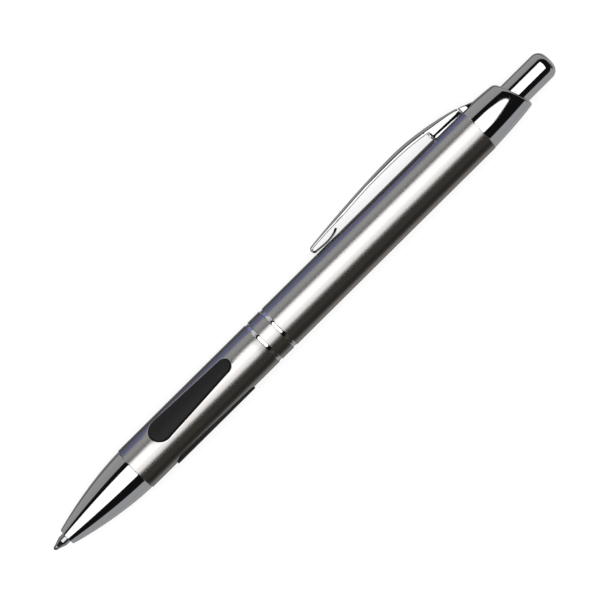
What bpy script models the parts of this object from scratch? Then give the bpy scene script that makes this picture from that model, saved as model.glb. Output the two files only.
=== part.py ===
"""Retractable ballpoint pen, lying along +X with the middle of its button's flat end at the origin.

Every turned piece is modelled about its own local Z, measured from the writing tip, and hangs
under an empty that lays local Z along world +X, local X along world +Y (the clip's side) and
local Y along world +Z. The point is out, as it is for writing, so the tip is at -X.
"""

import math

import bmesh
import bpy

MM = 0.001
SEGMENTS = 32

# Stations along the axis, in millimetres from the writing tip.
BALL_CENTRE = 0.35
POINT_START = 0.22
MOUTH = 3.7
SPRING_LEDGE = 8.0
SPRING_END = 17.6
NECK_START = 11.0
REFILL_SHOULDER = 18.0
NOSE_SEAM = 23.0
NOSE_SPIGOT_END = 27.5
PAD_START = 29.4
PAD_END = 51.7
LINER_END = 53.0
COUPLING_START = 53.5
RING_START = 59.55
RING_END = 63.05
COUPLING_END = 68.4
BUSH_END = 72.0
SLEEVE_START = 96.0
REFILL_END = 98.0
SLEEVE_END = 113.5
CAP_SPIGOT_START = 114.0
CAP_SEAM = 120.0
CAP_CAVITY_END = 127.1
CAP_TOP = 131.4
BUTTON_TOP = 140.0

# Radii, in millimetres.
BARREL_R = 5.05
BARREL_BORE_R = 4.45
INSERT_R = 4.33
GROOVE_R = 4.87
REFILL_R = 3.0
REFILL_NECK_R = 1.6
POINT_R = 1.12
BALL_R = 0.35
MOUTH_R = 1.85
MOUTH_BORE_R = 1.3
SPRING_MEAN_R = 2.0
WIRE_R = 0.2
BUTTON_R = 3.05
BUTTON_BORE_R = 2.15
STEM_R = 2.0
RETAINING_FLANGE_R = 3.7

SEAM = 0.12          # clearance left at a joint line that shows
GROOVE_WIDTH = 0.62  # of each polished groove beside the ring

# Grip insets.
PAD_ANGLES = {"grip_pad_front": 60, "grip_pad_side": 180, "grip_pad_back": 300}
PAD_OUTER_R = 5.38
PAD_INNER_R = 4.48
PAD_WIDE_R = 2.5     # half width of the round end towards the tip
PAD_NARROW_R = 1.5   # half width of the round end towards the button
PAD_GAP = 0.16
PAD_CUT_REACH = 2.0  # how far the window's cutter runs to each side of the barrel's wall

# Click mechanism.
RIB_COUNT = 4
RIB_INNER_R = 2.8
SLEEVE_BORE_R = 3.45
RIB_START = 103.4
ROTOR_R = 2.5
FIN_R = 3.25
FIN_WIDTH = 1.3
CROWN_TEETH = 8

# Pocket clip.
CLIP_ROOT_WIDTH = 2.9
CLIP_TIP_WIDTH = 2.5
CLIP_SHEET = 0.55
CLIP_WALL = 0.45       # of the side walls at the free end
CLIP_START = 79.0
CLIP_FLANGE_START = 86.5
CLIP_FOOT_START = 112.2
CLIP_SIDE_DEPTH = 1.0
CLIP_FOOT_BASE = 5.17
CLIP_PIVOT_HEIGHT = 5.3
CLIP_TOP_LINE = [      # (station, height above the axis) along the clip's outer face
    (80.4, 7.2), (82.4, 7.42), (84.4, 7.6), (90.5, 8.1), (96.5, 8.37), (100.5, 8.55),
    (104.0, 8.65), (106.6, 8.6), (108.6, 8.45), (110.6, 8.15), (112.6, 7.84), (114.6, 7.45),
    (116.6, 7.03), (118.6, 6.5), (CAP_SEAM - SEAM, 6.08),
]

# Cap.
HOOD_WIDTH = 2.9
HOOD_LINE = [          # (length past the cap's seam, height above the axis)
    (0.0, 6.08), (0.6, 5.85), (1.6, 5.45), (2.6, 5.08), (3.4, 4.75),
]
TOP_SLANT = 19.3       # degrees off square
TOP_CENTRE = 130.25    # where the slanted plane crosses the axis


def clear_scene():
    for item in list(bpy.data.objects):
        bpy.data.objects.remove(item, do_unlink=True)


def new_collection(name):
    collection = bpy.data.collections.new(name)
    bpy.context.scene.collection.children.link(collection)
    return collection


def make_material(name, colour, metallic, roughness):
    material = bpy.data.materials.new(name)
    material.use_nodes = True
    shader = material.node_tree.nodes["Principled BSDF"]
    shader.inputs["Base Color"].default_value = (*colour, 1.0)
    shader.inputs["Metallic"].default_value = metallic
    shader.inputs["Roughness"].default_value = roughness
    return material


def place(item, collection, parent):
    collection.objects.link(item)
    item.parent = parent
    return item


def finish_round(item):
    """Smooth shading that keeps the turned edges crisp."""
    for face in item.data.polygons:
        face.use_smooth = True
    item.data.set_sharp_from_angle(angle=math.radians(30))


def turned(name, profile, collection, parent, material, segments=SEGMENTS):
    """A solid of revolution: profile is a closed loop of (radius, station) in millimetres.

    The loop runs down its outer side from the top, then back up the inner side.
    """
    mesh = bpy.data.meshes.new(name)
    points = [(radius * MM, 0.0, station * MM) for radius, station in profile]
    edges = [(i, (i + 1) % len(points)) for i in range(len(points))]
    if profile[0][0] == 0.0 and profile[-1][0] == 0.0:
        edges.pop()
    mesh.from_pydata(points, edges, [])
    item = place(bpy.data.objects.new(name, mesh), collection, parent)
    screw = item.modifiers.new("Screw", "SCREW")
    screw.axis = "Z"
    screw.angle = math.tau
    screw.steps = segments
    screw.render_steps = segments
    screw.use_merge_vertices = True
    screw.merge_threshold = 0.000001
    screw.use_smooth_shade = False
    apply_modifiers(item)
    item.data.materials.append(material)
    finish_round(item)
    return item


def apply_modifiers(item):
    """Bake an object's modifiers into its mesh, and merge the points that coincide."""
    depsgraph = bpy.context.evaluated_depsgraph_get()
    mesh = bpy.data.meshes.new_from_object(item.evaluated_get(depsgraph))
    shape = bmesh.new()
    shape.from_mesh(mesh)
    bmesh.ops.remove_doubles(shape, verts=shape.verts, dist=1e-7)
    bmesh.ops.recalc_face_normals(shape, faces=shape.faces)
    shape.to_mesh(mesh)
    shape.free()
    item.modifiers.clear()
    item.data = mesh


def box(name, size, centre, collection, parent, spin=0.0):
    """A block of the given size in millimetres, turned by spin degrees about the pen's axis."""
    mesh = bpy.data.meshes.new(name)
    shape = bmesh.new()
    bmesh.ops.create_cube(shape, size=1.0)
    bmesh.ops.scale(shape, vec=[s * MM for s in size], verts=shape.verts)
    bmesh.ops.translate(shape, vec=[c * MM for c in centre], verts=shape.verts)
    shape.to_mesh(mesh)
    shape.free()
    item = place(bpy.data.objects.new(name, mesh), collection, parent)
    item.rotation_euler[2] = math.radians(spin)
    return item


def plate(name, outline, half_thickness, collection, parent, turn):
    """A flat outline (a 2D curve, in millimetres) extruded to both sides, then turned upright."""
    curve = bpy.data.curves.new(name, "CURVE")
    curve.dimensions = "2D"
    curve.fill_mode = "BOTH"
    curve.extrude = half_thickness * MM
    spline = curve.splines.new("POLY")
    spline.points.add(len(outline) - 1)
    for point, (u, v) in zip(spline.points, outline):
        point.co = (u * MM, v * MM, 0.0, 1.0)
    spline.use_cyclic_u = True
    source = place(bpy.data.objects.new(name + "_outline", curve), collection, parent)
    depsgraph = bpy.context.evaluated_depsgraph_get()
    mesh = bpy.data.meshes.new_from_object(source.evaluated_get(depsgraph))
    bpy.data.objects.remove(source, do_unlink=True)
    shape = bmesh.new()
    shape.from_mesh(mesh)
    bmesh.ops.remove_doubles(shape, verts=shape.verts, dist=1e-7)
    bmesh.ops.recalc_face_normals(shape, faces=shape.faces)
    shape.to_mesh(mesh)
    shape.free()
    item = place(bpy.data.objects.new(name, mesh), collection, parent)
    item.rotation_euler = turn
    return item


def combine(item, other, operation):
    modifier = item.modifiers.new(operation.title(), "BOOLEAN")
    modifier.operation = operation
    modifier.solver = "EXACT"
    modifier.object = other
    other.display_type = "WIRE"
    other.hide_render = True


def bake(item):
    apply_modifiers(item)
    finish_round(item)


def arc(centre, radius, start, end, steps):
    """Points on an arc, angles in degrees, both ends included."""
    points = []
    for i in range(steps + 1):
        angle = math.radians(start + (end - start) * i / steps)
        points.append((centre[0] + radius * math.cos(angle), centre[1] + radius * math.sin(angle)))
    return points


def teardrop(grow):
    """The grip inset's outline: a wide round end at the tip side, a narrow one at the other."""
    wide = PAD_WIDE_R + grow
    narrow = PAD_NARROW_R + grow
    low = PAD_START + PAD_WIDE_R
    high = PAD_END - PAD_NARROW_R
    lean = math.degrees(math.asin((wide - narrow) / (high - low)))
    bottom = arc((low, 0.0), wide, 90 - lean, 270 + lean, 12)
    top = arc((high, 0.0), narrow, -90 + lean, 90 - lean, 10)
    return bottom + top


def pad_prism(name, angle, grow, collection, parent):
    """The teardrop pushed straight out through the barrel's wall on one side only."""
    turn = math.radians(angle)
    outline = [(-z, y) for z, y in teardrop(grow)]
    item = plate(name, outline, PAD_CUT_REACH, collection, parent, (0.0, math.radians(90), turn))
    distance = (BARREL_R - 0.4) * MM
    item.location = (distance * math.cos(turn), distance * math.sin(turn), 0.0)
    return item


def build_lower_barrel(parts, cutters, axis, satin):
    lower = turned("lower_barrel", [
        (GROOVE_R, RING_START - SEAM), (GROOVE_R, RING_START - GROOVE_WIDTH),
        (BARREL_R, RING_START - GROOVE_WIDTH - 0.1), (BARREL_R, NOSE_SEAM + SEAM + 0.1),
        (BARREL_R - 0.1, NOSE_SEAM + SEAM), (BARREL_BORE_R, NOSE_SEAM + SEAM),
        (BARREL_BORE_R, RING_START - SEAM),
    ], parts, axis, satin)
    for name, angle in PAD_ANGLES.items():
        window = pad_prism(name + "_window", angle, PAD_GAP, cutters, axis)
        combine(lower, window, "DIFFERENCE")
    bake(lower)


def build_upper_barrel(parts, axis, satin):
    turned("upper_barrel", [
        (BARREL_R - 0.08, CAP_SEAM - SEAM), (BARREL_R, CAP_SEAM - SEAM - 0.08),
        (BARREL_R, RING_END + GROOVE_WIDTH + 0.1), (GROOVE_R, RING_END + GROOVE_WIDTH),
        (GROOVE_R, RING_END + SEAM), (BARREL_BORE_R, RING_END + SEAM),
        (BARREL_BORE_R, CAP_SEAM - SEAM),
    ], parts, axis, satin)


def build_ring(parts, ring_axis, satin):
    turned("centre_ring", [
        (BARREL_R - 0.08, RING_END), (BARREL_R, RING_END - 0.08),
        (BARREL_R, RING_START + 0.08), (BARREL_R - 0.08, RING_START),
        (BARREL_BORE_R, RING_START), (BARREL_BORE_R, RING_END),
    ], parts, ring_axis, satin)


def build_nose(parts, axis, chrome):
    turned("nose_cone", [
        (INSERT_R, NOSE_SPIGOT_END), (INSERT_R, NOSE_SEAM),
        (4.88, NOSE_SEAM), (4.80, 20.1), (4.55, 18.1), (4.30, 16.1), (4.02, 14.1), (3.72, 12.1),
        (3.32, 10.1), (2.90, 8.0), (2.42, 6.0), (MOUTH_R, MOUTH + 0.05),
        (MOUTH_R - 0.05, MOUTH), (MOUTH_BORE_R, MOUTH), (MOUTH_BORE_R, SPRING_LEDGE),
        (SPRING_MEAN_R + 0.38, SPRING_LEDGE), (SPRING_MEAN_R + 0.38, 13.5), (REFILL_R + 0.15, 15.6),
        (REFILL_R + 0.15, NOSE_SPIGOT_END),
    ], parts, axis, chrome)


def build_grip(parts, cutters, axis, rubber, plastic):
    turned("grip_liner", [
        (INSERT_R, LINER_END), (INSERT_R, NOSE_SPIGOT_END + 0.3),
        (3.9, NOSE_SPIGOT_END + 0.3), (3.9, LINER_END),
    ], parts, axis, plastic)
    for name, angle in PAD_ANGLES.items():
        pad = turned(name, [
            (PAD_OUTER_R, PAD_END + 1.0), (PAD_OUTER_R, PAD_START - 1.0),
            (PAD_INNER_R, PAD_START - 1.0), (PAD_INNER_R, PAD_END + 1.0),
        ], parts, axis, rubber, 64)
        prism = pad_prism(name + "_outline", angle, 0.0, cutters, axis)
        combine(pad, prism, "INTERSECT")
        bake(pad)


def build_threads(parts, lower_axis, root_axis, brass):
    turned("threaded_coupling", [
        (3.78, COUPLING_END), (3.95, COUPLING_END - 0.3), (3.95, RING_START - SEAM),
        (INSERT_R, RING_START - SEAM), (INSERT_R, COUPLING_START),
        (3.4, COUPLING_START), (3.4, COUPLING_END),
    ], parts, lower_axis, brass)
    turned("thread_bush", [
        (INSERT_R, BUSH_END), (INSERT_R, RING_END + 0.6),
        (4.05, RING_END + 0.6), (4.05, BUSH_END),
    ], parts, root_axis, brass)


def build_refill(parts, axis, brass, steel, plastic):
    turned("refill_tube", [
        (REFILL_R, REFILL_END - 3.0), (REFILL_R, REFILL_SHOULDER + 0.3),
        (REFILL_R - 0.3, REFILL_SHOULDER), (REFILL_NECK_R + 0.1, REFILL_SHOULDER),
        (REFILL_NECK_R + 0.1, REFILL_SHOULDER + 2.6), (REFILL_R - 0.35, REFILL_SHOULDER + 2.6),
        (REFILL_R - 0.35, REFILL_END - 3.0),
    ], parts, axis, steel)
    turned("refill_tail", [
        (0.7, REFILL_END), (2.3, REFILL_END), (2.5, REFILL_END - 0.2),
        (2.5, REFILL_END - 1.4), (REFILL_R, REFILL_END - 1.4), (REFILL_R, REFILL_END - 2.9),
        (REFILL_R - 0.45, REFILL_END - 2.9), (REFILL_R - 0.45, REFILL_END - 8.0),
        (0.7, REFILL_END - 8.0),
    ], parts, axis, plastic)
    turned("refill_neck", [
        (REFILL_NECK_R, REFILL_SHOULDER + 2.4), (REFILL_NECK_R, NECK_START + 0.2),
        (REFILL_NECK_R - 0.2, NECK_START), (POINT_R + 0.08, NECK_START),
        (POINT_R + 0.08, REFILL_SHOULDER + 2.4),
    ], parts, axis, brass)
    turned("refill_point", [
        (POINT_R, 14.0), (POINT_R, 2.36), (POINT_R - 0.06, 2.28), (0.42, POINT_START),
        (BALL_R - 0.01, POINT_START), (BALL_R + 0.02, POINT_START + 0.07),
        (BALL_R + 0.02, 0.52), (0.2, 0.78), (0.3, 0.95), (0.3, 14.0),
    ], parts, axis, steel, 32)


def build_ball(parts, ball_axis, steel):
    mesh = bpy.data.meshes.new("writing_ball")
    shape = bmesh.new()
    bmesh.ops.create_uvsphere(shape, u_segments=16, v_segments=10, radius=BALL_R * MM)
    shape.to_mesh(mesh)
    shape.free()
    ball = place(bpy.data.objects.new("writing_ball", mesh), parts, ball_axis)
    ball.data.materials.append(steel)
    finish_round(ball)


def build_spring(parts, axis, steel):
    """A compression spring with its two end coils closed up."""
    curve = bpy.data.curves.new("return_spring", "CURVE")
    curve.dimensions = "3D"
    curve.bevel_depth = WIRE_R * MM
    curve.bevel_resolution = 2
    curve.use_fill_caps = True
    start = SPRING_LEDGE + WIRE_R + 0.1
    end = SPRING_END - WIRE_R - 0.05
    turns = 10
    closed_pitch = 2 * WIRE_R + 0.06
    open_pitch = (end - start - 2 * closed_pitch) / (turns - 2)
    per_turn = 12
    spline = curve.splines.new("POLY")
    spline.points.add(turns * per_turn)
    for i, point in enumerate(spline.points):
        turn = i / per_turn
        height = min(turn, 1.0) * closed_pitch
        height += min(max(turn - 1.0, 0.0), turns - 2) * open_pitch
        height += max(turn - turns + 1, 0.0) * closed_pitch
        angle = math.tau * turn
        point.co = (SPRING_MEAN_R * math.cos(angle) * MM, SPRING_MEAN_R * math.sin(angle) * MM,
                    (start + height) * MM, 1.0)
    spring = place(bpy.data.objects.new("return_spring", curve), parts, axis)
    spring.data.materials.append(steel)


def build_sleeve(parts, cutters, axis, plastic):
    """The fixed sleeve: straight ribs leave four slots that the rotor and plunger ride in."""
    sleeve = turned("guide_sleeve", [
        (INSERT_R, SLEEVE_END), (INSERT_R, SLEEVE_START), (SLEEVE_BORE_R, SLEEVE_START),
        (SLEEVE_BORE_R, SLEEVE_END - 0.8), (STEM_R + 0.25, SLEEVE_END - 0.8),
        (STEM_R + 0.25, SLEEVE_END),
    ], parts, axis, plastic)
    rib_end = SLEEVE_END - 0.4
    ribs = turned("sleeve_ribs", [
        (SLEEVE_BORE_R + 0.2, rib_end), (SLEEVE_BORE_R + 0.2, RIB_START),
        (RIB_INNER_R, RIB_START), (RIB_INNER_R, rib_end),
    ], cutters, axis, plastic)
    slot_width = FIN_WIDTH + 0.7
    for i in range(RIB_COUNT // 2):
        slot = box(f"sleeve_slot_{i}", (3 * INSERT_R, slot_width, 40.0),
                   (0.0, 0.0, RIB_START + 5.0), cutters, axis, 180.0 / (RIB_COUNT // 2) * i)
        combine(ribs, slot, "DIFFERENCE")
    bake(ribs)
    combine(sleeve, ribs, "UNION")
    bake(sleeve)


def fins(name, start, end, cutters, axis):
    """The fins that ride in the sleeve's slots, as crossed blocks."""
    length = end - start
    blocks = []
    for i in range(RIB_COUNT // 2):
        blocks.append(box(f"{name}_{i}", (2 * FIN_R, FIN_WIDTH, length),
                          (0.0, 0.0, start + length / 2), cutters, axis,
                          180.0 / (RIB_COUNT // 2) * i))
    return blocks


def build_rotor(parts, cutters, axis, plastic):
    rotor = turned("cam_rotor", [
        (0.0, 107.6), (1.1, 107.6), (1.2, 107.5), (1.2, 103.3), (ROTOR_R, 102.2),
        (ROTOR_R, REFILL_END + 0.45), (ROTOR_R - 0.15, REFILL_END + 0.3), (0.0, REFILL_END + 0.3),
    ], parts, axis, plastic)
    for block in fins("rotor_fin", 99.6, 102.9, cutters, axis):
        combine(rotor, block, "UNION")
    bake(rotor)


def build_plunger(parts, cutters, axis, plastic):
    """A tube with crown teeth at the rotor's end and a stem that the button is pressed on."""
    plunger = turned("plunger", [
        (STEM_R, 136.0), (STEM_R, 108.6), (ROTOR_R, 108.0), (ROTOR_R, 103.2),
        (1.4, 103.2), (1.4, 108.6), (1.2, 109.0), (1.2, 136.0),
    ], parts, axis, plastic)
    for block in fins("plunger_rib", 105.2, 107.6, cutters, axis):
        combine(plunger, block, "UNION")
    core = turned("plunger_core", [
        (0.0, 108.2), (1.4, 108.2), (1.4, 90.0), (0.0, 90.0),
    ], cutters, axis, plastic)
    combine(plunger, core, "DIFFERENCE")
    for i in range(CROWN_TEETH):
        notch = box(f"crown_notch_{i}", (1.6, 1.0, 1.0), (2.1, 0.0, 103.2), cutters, axis,
                    360.0 / CROWN_TEETH * (i + 0.5))
        combine(plunger, notch, "DIFFERENCE")
    bake(plunger)


def build_button(parts, axis, chrome):
    round_r = 2.1
    dome = [(0.0, BUTTON_TOP)]
    flat = BUTTON_R - round_r
    for radius, station in reversed(arc((flat, BUTTON_TOP - round_r), round_r, 0, 90, 6)):
        dome.append((radius, station))
    turned("push_button", dome + [
        (BUTTON_R, 122.4), (RETAINING_FLANGE_R, 122.4), (RETAINING_FLANGE_R, 121.2),
        (BUTTON_BORE_R, 121.2), (BUTTON_BORE_R, 136.3), (0.0, 137.0),
    ], parts, axis, chrome)


def build_cap(parts, cutters, axis, chrome):
    """Turned cap with a hood over the clip's root, cut off by a slanted plane at the top."""
    cap = turned("end_cap", [
        (3.9, CAP_TOP + 2.0), (4.32, CAP_TOP), (4.58, 128.7), (4.75, 126.7), (4.85, 124.7),
        (4.93, 122.6), (5.03, CAP_SEAM + 0.1), (4.95, CAP_SEAM),
        (INSERT_R, CAP_SEAM), (INSERT_R, CAP_SPIGOT_START), (3.9, CAP_SPIGOT_START),
        (3.9, CAP_CAVITY_END), (BUTTON_R + 0.15, CAP_CAVITY_END), (BUTTON_R + 0.15, CAP_TOP + 2.0),
    ], parts, axis, chrome)
    hood_base = 4.2
    hood_outline = [(CAP_SEAM + length, height) for length, height in HOOD_LINE]
    hood_outline += [(CAP_SEAM + HOOD_LINE[-1][0], hood_base), (CAP_SEAM, hood_base)]
    hood = side_plate("cap_hood", upright(hood_outline), HOOD_WIDTH / 2, cutters, axis)
    combine(cap, hood, "UNION")
    slant = box("slant_cut", (16.0, 16.0, 8.0), (0.0, 0.0, 4.0), cutters, axis)
    slant.location = (0.0, 0.0, TOP_CENTRE * MM)
    slant.rotation_euler = (0.0, math.radians(TOP_SLANT), 0.0)
    combine(cap, slant, "DIFFERENCE")
    bake(cap)


def side_plate(name, outline, half_thickness, collection, parent):
    """An outline given as (-station, height towards the clip), extruded across the pen."""
    turn = (math.radians(90), math.radians(90), 0.0)
    return plate(name, outline, half_thickness, collection, parent, turn)


def top_height(station):
    """Height of the clip's outer line above the axis, by straight lines between its points."""
    for (s0, h0), (s1, h1) in zip(CLIP_TOP_LINE, CLIP_TOP_LINE[1:]):
        if s0 <= station <= s1:
            return h0 + (h1 - h0) * (station - s0) / (s1 - s0)
    return CLIP_TOP_LINE[0][1] if station < CLIP_TOP_LINE[0][0] else CLIP_TOP_LINE[-1][1]


def clip_side_outline():
    """The clip seen from the side: arm, deep foot, and the end folded back under."""
    sheet = CLIP_SHEET
    bend = (80.05, 6.28)
    outer = list(CLIP_TOP_LINE)
    lower = [
        (CAP_SEAM - SEAM, CLIP_FOOT_BASE), (CLIP_FOOT_START, CLIP_FOOT_BASE),
        (CLIP_FOOT_START - 0.25, top_height(CLIP_FOOT_START) - CLIP_SIDE_DEPTH),
    ]
    for station in (108.6, 104.0, 98.0, 92.0, CLIP_FLANGE_START + 0.6):
        lower.append((station, top_height(station) - CLIP_SIDE_DEPTH))
    lower.append((CLIP_FLANGE_START - 0.4, top_height(CLIP_FLANGE_START) - sheet))
    lower.append((83.0, top_height(83.0) - sheet))
    inner_bend = arc(bend, 0.5, 80, 262, 6)
    fold = [(81.6, 5.69), (83.2, 5.75), (84.6, 5.97), (85.9, 6.33), (86.2, 5.88),
            (84.8, 5.47), (83.4, 5.2), (82.0, 5.2), (80.9, 5.25)]
    outer_bend = arc(bend, 1.05, 255, 100, 8)
    return outer + lower + inner_bend + fold + outer_bend


def clip_channel_outline():
    """The hollow between the clip's side walls, under its top sheet."""
    points = [(station, top_height(station) - CLIP_SHEET)
              for station in (CLIP_FLANGE_START + 0.2, 92.0, 98.0, 104.0, 108.6, 112.6, 116.6)]
    points.append((CAP_SEAM - SEAM - CLIP_SHEET, top_height(118.6) - CLIP_SHEET))
    points.append((CAP_SEAM - SEAM - CLIP_SHEET, 4.0))
    points.append((CLIP_FLANGE_START + 0.2, 4.0))
    return points


def upright(points):
    return [(-station, height) for station, height in points]


def build_clip(parts, cutters, clip_axis, chrome):
    pivot = clip_axis.location
    shift = (-pivot[0], -pivot[1], -pivot[2])
    clip = side_plate("pocket_clip", upright(clip_side_outline()), 4.0, parts, clip_axis)
    clip.location = shift
    root_half = CLIP_ROOT_WIDTH / 2
    tip_half = CLIP_TIP_WIDTH / 2
    half_plan = [(-CAP_SEAM, root_half), (-(CLIP_START + 1.4), tip_half),
                 (-(CLIP_START + 0.3), tip_half - 0.35), (-(CLIP_START - 0.1), tip_half - 1.0)]
    plan = half_plan + [(u, -v) for u, v in reversed(half_plan)]
    trim = plate("clip_plan", plan, 12.0, cutters, clip_axis, (0.0, math.radians(90), 0.0))
    trim.location = shift
    combine(clip, trim, "INTERSECT")
    channel = side_plate("clip_channel", upright(clip_channel_outline()),
                         tip_half - CLIP_WALL, cutters, clip_axis)
    channel.location = shift
    combine(clip, channel, "DIFFERENCE")
    bake(clip)
    clip.data.materials.append(chrome)


def empty(name, collection, parent, location, rotation=(0.0, 0.0, 0.0)):
    item = bpy.data.objects.new(name, None)
    item.empty_display_size = 0.005
    place(item, collection, parent)
    item.location = location
    item.rotation_euler = rotation
    return item


def build_pen():
    clear_scene()
    parts = new_collection("ballpoint_pen")
    cutters = new_collection("cutters")
    satin = make_material("satin_barrel", (0.30, 0.30, 0.33), 1.0, 0.32)
    chrome = make_material("chrome", (0.80, 0.80, 0.82), 1.0, 0.08)
    steel = make_material("steel", (0.60, 0.60, 0.62), 1.0, 0.25)
    brass = make_material("brass", (0.72, 0.55, 0.25), 1.0, 0.3)
    rubber = make_material("rubber", (0.02, 0.02, 0.022), 0.0, 0.7)
    plastic = make_material("plastic", (0.75, 0.75, 0.74), 0.0, 0.45)

    lay_down = (math.radians(90), 0.0, math.radians(90))
    axis = empty("pen_axis", parts, None, (-BUTTON_TOP * MM, 0.0, 0.0), lay_down)
    lower_axis = empty("lower_half_axis", parts, axis, (0.0, 0.0, 0.0))
    click_axis = empty("click_axis", parts, axis, (0.0, 0.0, 0.0))
    ball_axis = empty("ball_axis", parts, click_axis, (0.0, 0.0, BALL_CENTRE * MM))
    ring_axis = empty("ring_axis", parts, axis, (0.0, 0.0, 0.0))
    clip_axis = empty("clip_axis", parts, axis,
                      (CLIP_PIVOT_HEIGHT * MM, 0.0, (CAP_SEAM - SEAM) * MM))

    build_lower_barrel(parts, cutters, lower_axis, satin)
    build_upper_barrel(parts, axis, satin)
    build_ring(parts, ring_axis, satin)
    build_nose(parts, lower_axis, chrome)
    build_grip(parts, cutters, lower_axis, rubber, plastic)
    build_threads(parts, lower_axis, axis, brass)
    build_refill(parts, click_axis, brass, steel, plastic)
    build_ball(parts, ball_axis, steel)
    build_spring(parts, lower_axis, steel)
    build_sleeve(parts, cutters, axis, plastic)
    build_rotor(parts, cutters, click_axis, plastic)
    build_plunger(parts, cutters, click_axis, plastic)
    build_button(parts, click_axis, chrome)
    build_cap(parts, cutters, axis, chrome)
    build_clip(parts, cutters, clip_axis, chrome)


build_pen()
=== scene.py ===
"""Retractable ballpoint pen: the finished look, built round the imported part."""

import math

import bmesh
import bpy
from mathutils import Matrix, Vector


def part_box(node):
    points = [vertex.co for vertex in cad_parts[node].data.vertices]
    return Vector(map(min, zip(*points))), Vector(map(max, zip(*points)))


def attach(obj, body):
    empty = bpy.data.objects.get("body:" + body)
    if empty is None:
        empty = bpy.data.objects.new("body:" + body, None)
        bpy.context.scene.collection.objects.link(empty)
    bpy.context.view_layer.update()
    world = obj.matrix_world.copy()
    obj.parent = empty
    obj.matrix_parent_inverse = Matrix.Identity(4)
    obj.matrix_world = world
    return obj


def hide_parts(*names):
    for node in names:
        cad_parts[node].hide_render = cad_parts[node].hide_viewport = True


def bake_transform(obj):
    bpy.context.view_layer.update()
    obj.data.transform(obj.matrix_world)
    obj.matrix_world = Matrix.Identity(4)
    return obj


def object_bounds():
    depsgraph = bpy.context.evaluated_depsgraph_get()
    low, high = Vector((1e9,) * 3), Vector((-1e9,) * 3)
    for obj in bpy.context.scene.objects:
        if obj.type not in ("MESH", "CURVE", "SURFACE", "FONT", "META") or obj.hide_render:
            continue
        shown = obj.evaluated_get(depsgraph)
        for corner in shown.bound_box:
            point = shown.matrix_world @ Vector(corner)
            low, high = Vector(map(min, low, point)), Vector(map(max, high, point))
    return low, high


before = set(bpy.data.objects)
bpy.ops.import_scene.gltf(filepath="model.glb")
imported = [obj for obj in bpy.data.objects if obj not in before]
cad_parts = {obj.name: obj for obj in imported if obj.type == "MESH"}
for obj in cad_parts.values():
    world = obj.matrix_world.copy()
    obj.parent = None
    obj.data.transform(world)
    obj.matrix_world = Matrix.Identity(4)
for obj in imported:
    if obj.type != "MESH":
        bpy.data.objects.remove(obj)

cad_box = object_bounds()

# Lengths are in millimetres, and stations run along the axis from the writing tip. An outline is a
# list of (radius, station), and a third number rounds that corner.
MM = 0.001
TIP_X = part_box("writing_ball")[0][0]
PEN_MIDDLE = 70.0
SMOOTH_BELOW = 38.0  # degrees between faces that shade as one surface
CORNER_STEPS = 5  # facets in a rounded edge
SAME_POINT = 2e-8  # metres
SAME_SEAM = 1e-7  # metres, for an inset's faces
SHORTEST_EDGE = 1e-9  # metres

# Facets round the turned pieces.
AROUND = 160
AROUND_NOSE = 192
AROUND_CAP = 240
AROUND_TUBE = 120
AROUND_SMALL = 96
AROUND_BALL = 48
AROUND_WIRE = 12

# ---- barrel and ring
BARREL_R = 5.05
BORE_R = 4.45
INSERT_R = 4.33  # of the pieces that sit in the bore
NOSE_SEAM = 23.0
RING_START = 59.7
RING_END = 62.95
CAP_SEAM = 120.0
SEAM = 0.07  # gap between two pieces of the barrel
GROOVE_WIDTH = 0.84
GROOVE_DEPTH = 0.18
GROOVE_SWEEP = 0.8  # share of a half wave
GROOVE_STEPS = 12
LOWER_END_ROUND = 0.1
UPPER_END_ROUND = 0.08
BAND_ROUND = 0.06
BAND_ROW = 1.1  # from its ends to its inner rows
BORE_ROWS = 6
WALL_ROWS = 14
WALL_MARGIN = 1.0
NOSE_MARGIN = 0.6

# ---- grip insets and the liner behind them
PAD_TURNS = {"front": 60.0, "side": 180.0, "back": 300.0}  # degrees from the clip
PAD_START = 29.95
PAD_END = 51.7
PAD_WIDE = 2.5  # radius of the end towards the nose
PAD_NARROW = 1.5  # radius of the other end
PAD_TOP_R = 5.38
PAD_SIDE_R = 5.24
PAD_BOTTOM_R = 4.5
PAD_WALL = 0.35  # under the shoulder
PAD_SHOULDER = 0.2
PAD_DOME = 0.02  # rise of the top inside the shoulder
PAD_COLUMNS = 12
PAD_END_ROWS = 4
PAD_GAP = 0.15
TEARDROP_STEPS = (20, 24, 16)  # wide end, side, narrow end
WINDOW_CHAMFER = 0.1
# The window's cutter from inside out: (chamfers wider than the gap, radius).
WINDOW_LEVELS = [(0.0, 3.6), (0.0, BARREL_R - WINDOW_CHAMFER), (0.45, BARREL_R - WINDOW_CHAMFER * 0.3),
                 (1.2, BARREL_R), (3.0, BARREL_R + 0.4), (3.0, BARREL_R + 2.5)]
LINER_START = 27.8
LINER_END = 53.0
LINER_BORE_R = 3.9
LINER_GROOVES = (50.5, 40.3, 30.2)
LINER_GROOVE_DEPTH = 0.12
LINER_GROOVE_HALF = (0.4, 0.3)  # at the top and the floor

# ---- nose cone: its outside is one curve, (radius, station) of its ends and handles
NOSE_CURVE = [(1.87, 3.7), (2.30, 5.2), (4.70, 13.9), (4.92, NOSE_SEAM)]
NOSE_STEPS = 56
NOSE_SPIGOT = [(3.15, 27.5), (INSERT_R, 27.5, 0.2), (INSERT_R, NOSE_SEAM), (4.9, NOSE_SEAM, 0.06)]
NOSE_BORE = [(*NOSE_CURVE[0], 0.16), (1.3, 3.7, 0.08), (1.3, 8.0), (2.38, 8.0), (2.38, 13.5),
             (3.15, 15.6)]

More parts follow.
